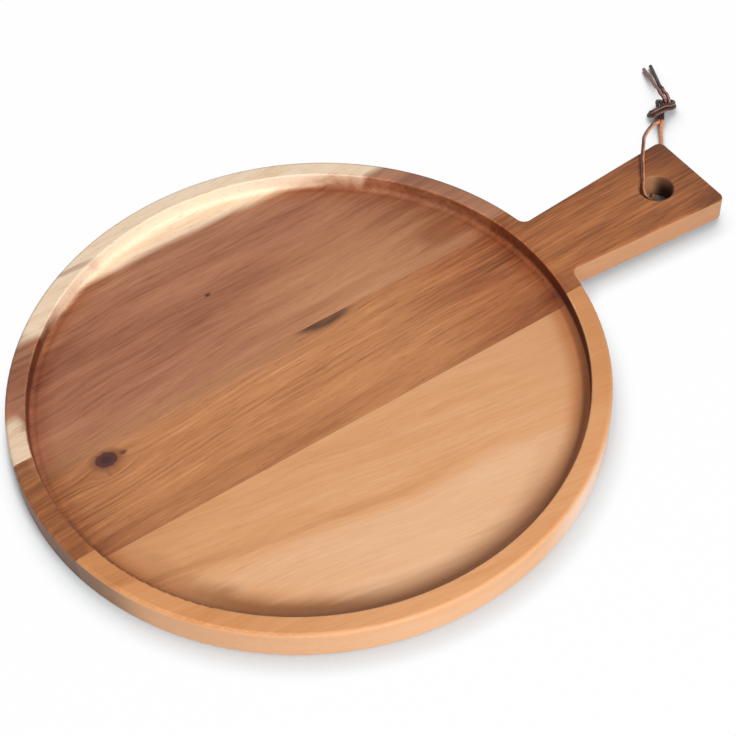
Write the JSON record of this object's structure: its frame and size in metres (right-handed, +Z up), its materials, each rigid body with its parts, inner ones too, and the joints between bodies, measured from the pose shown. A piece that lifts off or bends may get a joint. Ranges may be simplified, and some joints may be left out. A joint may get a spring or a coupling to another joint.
{
  "type": "pizza serving board",
  "caption": "Round wooden serving board with a sunk middle, a raised rim, a flared handle and a leather lace through the handle's hole to hang it by.",
  "frame": {"origin": "centre of the round board's underside", "axes": "+X along the handle, away from the round board; +Z up, out of the sunk middle; +Y towards the stave that lies at the rear in the picture"},
  "size_m": [0.4759, 0.32, 0.0206],
  "materials": {
    "rear_wood": "oiled, satin",
    "handle_wood": "oiled, satin",
    "front_wood": "oiled, satin",
    "glue": "matte",
    "lace_leather": "waxed, satin"
  },
  "bodies": {
    "board": {"rear_stave": "rear_wood", "handle_stave": "handle_wood", "front_stave": "front_wood", "rear_glue_line": "glue", "front_glue_line": "glue"},
    "hanging_lace": {"lace_loop": "lace_leather", "lace_knot": "lace_leather", "lace_tail_long": "lace_leather", "lace_tail_short": "lace_leather"}
  },
  "joints": [
    {"name": "lace_swing", "type": "hinge", "parent": "board", "child": "hanging_lace", "pos_m": [0.2365, 0, 0.0103], "axis": [0, 0, 1], "range_deg": [-184, 72]}
  ]
}
